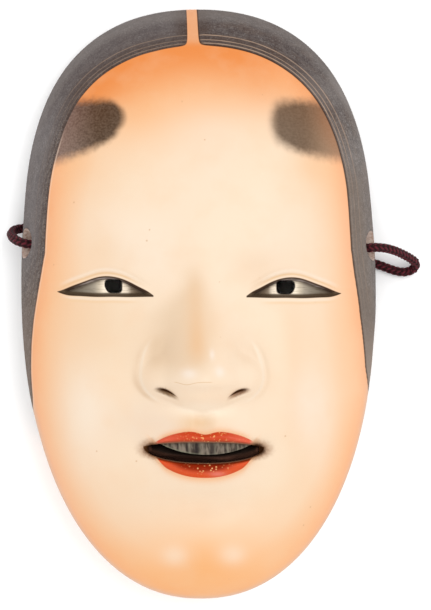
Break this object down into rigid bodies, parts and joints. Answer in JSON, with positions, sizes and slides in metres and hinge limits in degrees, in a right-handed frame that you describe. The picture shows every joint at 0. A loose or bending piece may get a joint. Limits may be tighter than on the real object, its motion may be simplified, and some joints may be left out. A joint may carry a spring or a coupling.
{
  "type": "carved theatre mask",
  "caption": "Carved wooden face mask, painted as a calm young woman with high brows and parted lips, hollow behind, with a short cord loop at each side hole.",
  "frame": {"origin": "in the plane of the back rim, under the middle of the mask's box", "axes": "+X to the viewer's right, +Y to the crown, +Z out of the face"},
  "size_m": [0.1498, 0.2123, 0.0707],
  "materials": {
    "painted_wood": "satin paint over a chalk ground, thin dark lacquer inside",
    "cord": "braided silk"
  },
  "bodies": {
    "root": {"mask": "painted_wood", "right_cord": "cord", "left_cord": "cord"}
  },
  "joints": []
}
